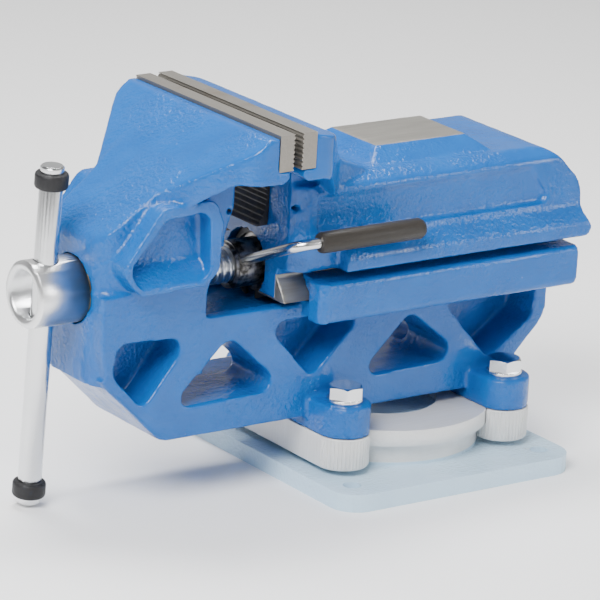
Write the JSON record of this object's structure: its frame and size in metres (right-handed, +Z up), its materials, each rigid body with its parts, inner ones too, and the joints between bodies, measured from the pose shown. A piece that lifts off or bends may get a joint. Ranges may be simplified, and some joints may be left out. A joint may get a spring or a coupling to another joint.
{
  "type": "bench vise",
  "caption": "Bench vise on a swivel base: fixed front jaw, rear jaw sliding on dovetail rails by a screw, pipe jaws, small anvil, quick-release lever and sliding handle bar.",
  "frame": {"origin": "centre of the underside of the swivel base, on the swivel axis", "axes": "+Z up, +X toward the rear of the vise (the way the sliding jaw opens), handle at -X, +Y to the left seen from the handle"},
  "size_m": [0.3067, 0.154, 0.1927],
  "materials": {
    "blue_enamel": "gloss",
    "pale_enamel": "gloss",
    "machined_iron": "satin",
    "ground_steel": "satin",
    "zinc_plate": "polished",
    "dark_steel": "satin",
    "bronze": "satin",
    "ring_rubber": "matte",
    "grip_plastic": "matte"
  },
  "bodies": {
    "base": {"swivel_base": "pale_enamel"},
    "vise_body": {"body_casting": "blue_enamel", "front_clamp_block": "machined_iron", "rear_clamp_block": "machined_iron", "clamp_bolts": "zinc_plate", "clamp_washers": "zinc_plate", "front_jaw_plate": "ground_steel", "front_jaw_screws": "dark_steel", "front_pipe_jaw": "dark_steel", "front_pipe_jaw_pin": "zinc_plate", "spindle_bush": "bronze"},
    "screw": {"spindle": "zinc_plate", "thrust_washer": "dark_steel", "lock_collar": "dark_steel", "collar_pin": "zinc_plate"},
    "handle": {"handle_bar": "zinc_plate", "upper_bar_ring": "ring_rubber", "lower_bar_ring": "ring_rubber"},
    "slider": {"sliding_jaw_casting": "blue_enamel", "rear_jaw_plate": "ground_steel", "rear_jaw_screws": "dark_steel", "rear_pipe_jaw": "dark_steel", "rear_pipe_jaw_pin": "zinc_plate", "nut_retaining_ring": "dark_steel"},
    "release": {"release_collar": "zinc_plate", "lever_rod": "zinc_plate", "lever_grip": "grip_plastic"},
    "upper_nut": {"nut_upper_half": "bronze"},
    "lower_nut": {"nut_lower_half": "bronze"}
  },
  "joints": [
    {"name": "swivel", "type": "hinge", "parent": "base", "child": "vise_body", "pos_m": [0, 0, 0], "axis": [0, 0, 1], "continuous": true},
    {"name": "screw_turn", "type": "hinge", "parent": "vise_body", "child": "screw", "pos_m": [-0.15, 0, 0.1101], "axis": [1, 0, 0], "range_deg": [-10402, 376]},
    {"name": "jaw_slide", "type": "slide", "parent": "vise_body", "child": "slider", "axis": [1, 0, 0], "range_m": [-0.0042, 0.1156]},
    {"name": "bar_slide", "type": "slide", "parent": "screw", "child": "handle", "axis": [0, -0.061, 0.9981], "range_m": [-0.0355, 0.0795]},
    {"name": "release_turn", "type": "hinge", "parent": "slider", "child": "release", "pos_m": [-0.0938, 0, 0.1101], "axis": [1, 0, 0], "range_deg": [0, 17]},
    {"name": "upper_nut_open", "type": "slide", "parent": "slider", "child": "upper_nut", "axis": [0, 0, 1], "range_m": [0, 0.0031]},
    {"name": "lower_nut_open", "type": "slide", "parent": "slider", "child": "lower_nut", "axis": [0, 0, -1], "range_m": [0, 0.0031]}
  ],
  "couplings": [
    {"joint": "jaw_slide", "follows": "screw_turn", "m_per_rad": -0.00063662},
    {"joint": "upper_nut_open", "follows": "release_turn", "m_per_rad": 0.010111},
    {"joint": "lower_nut_open", "follows": "release_turn", "m_per_rad": 0.010111}
  ]
}
